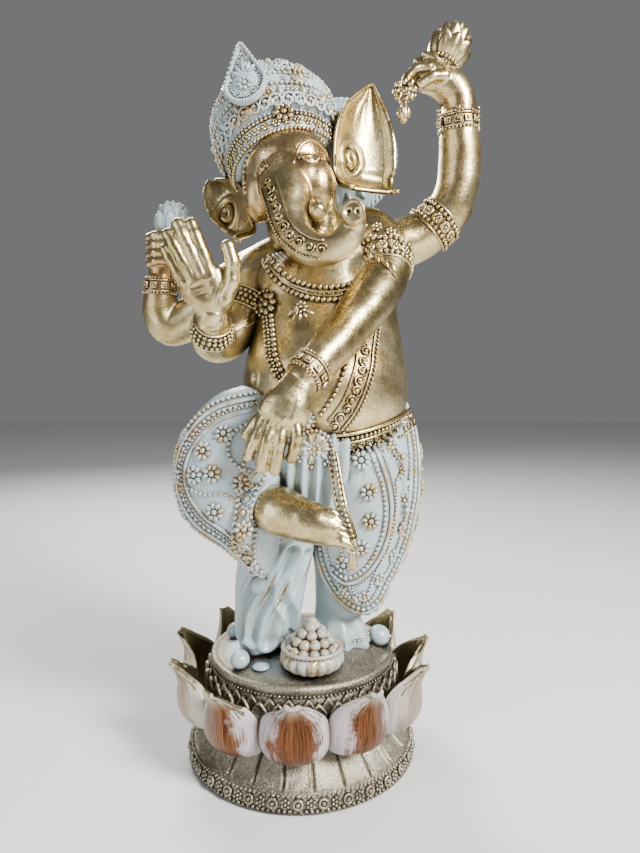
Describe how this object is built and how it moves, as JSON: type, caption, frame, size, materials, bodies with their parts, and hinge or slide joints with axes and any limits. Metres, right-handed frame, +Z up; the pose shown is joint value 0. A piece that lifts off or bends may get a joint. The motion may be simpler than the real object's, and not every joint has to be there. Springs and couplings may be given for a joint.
{
  "type": "ganesha idol",
  "caption": "Dancing elephant-headed deity figurine with raised arms and a tall crown, standing on a lotus pedestal with an offering bowl, cast in painted resin.",
  "frame": {"origin": "centre of the round foot's underside, on the resting plane", "axes": "+Z up from the resting plane to the crown, -Y the way the figure faces, +X to the figure's left side, where the arm is raised"},
  "size_m": [0.1176, 0.0918, 0.2457],
  "materials": {
    "gold_resin": "cast resin in antique gold paint, worn to pale highlights, brown wash in the hollows",
    "white_resin": "cast resin in pearly blue-white paint with gold dry-brushed on the relief",
    "champagne_resin": "cast resin in fine glittering champagne paint",
    "petal_resin": "cast resin in pinkish pearl with a brushed copper streak",
    "felt": "dark green felt",
    "steel": "plain steel rod"
  },
  "bodies": {
    "root": {"felt_pad": "felt", "foot_plinth": "champagne_resin", "lotus_drum": "champagne_resin", "petal_01": "petal_resin", "petal_02": "petal_resin", "petal_03": "petal_resin", "petal_04": "petal_resin", "petal_05": "petal_resin", "petal_06": "petal_resin", "petal_07": "petal_resin", "petal_08": "petal_resin", "petal_09": "petal_resin", "petal_10": "petal_resin", "petal_11": "petal_resin", "sweet_bowl": "champagne_resin", "bowl_sweets": "champagne_resin", "loose_sweets": "white_resin", "leg_rod": "steel", "standing_leg": "white_resin", "centre_drape": "white_resin", "drape_bead": "white_resin", "left_hip_drape": "white_resin", "right_knee_drape": "white_resin", "raised_foot": "gold_resin", "ankle_cuff": "gold_resin", "front_pleats": "white_resin", "sash_cord": "gold_resin", "waist_belt": "gold_resin", "belt_medallion": "white_resin", "torso": "gold_resin", "belly_garland": "gold_resin", "collar": "gold_resin", "pendant_chain": "gold_resin", "head": "gold_resin", "trunk": "gold_resin", "tusk": "gold_resin", "left_ear": "gold_resin", "right_ear": "gold_resin", "crown": "white_resin", "crown_plaque": "white_resin", "crown_halo": "white_resin", "front_right_arm": "gold_resin", "front_right_hand": "gold_resin", "front_right_bracelet": "gold_resin", "front_left_arm": "gold_resin", "front_left_armlet": "gold_resin", "front_left_hand": "gold_resin", "front_left_bracelet": "gold_resin", "rear_right_arm": "gold_resin", "rear_right_hand": "gold_resin", "rear_right_bracelet": "gold_resin", "rear_right_bud": "white_resin", "rear_left_arm": "gold_resin", "rear_left_armlet": "gold_resin", "rear_left_hand": "gold_resin", "rear_left_bracelet": "gold_resin", "rear_left_bud": "gold_resin", "prayer_beads": "gold_resin", "rear_left_dowel": "steel", "rear_right_dowel": "steel"}
  },
  "joints": []
}
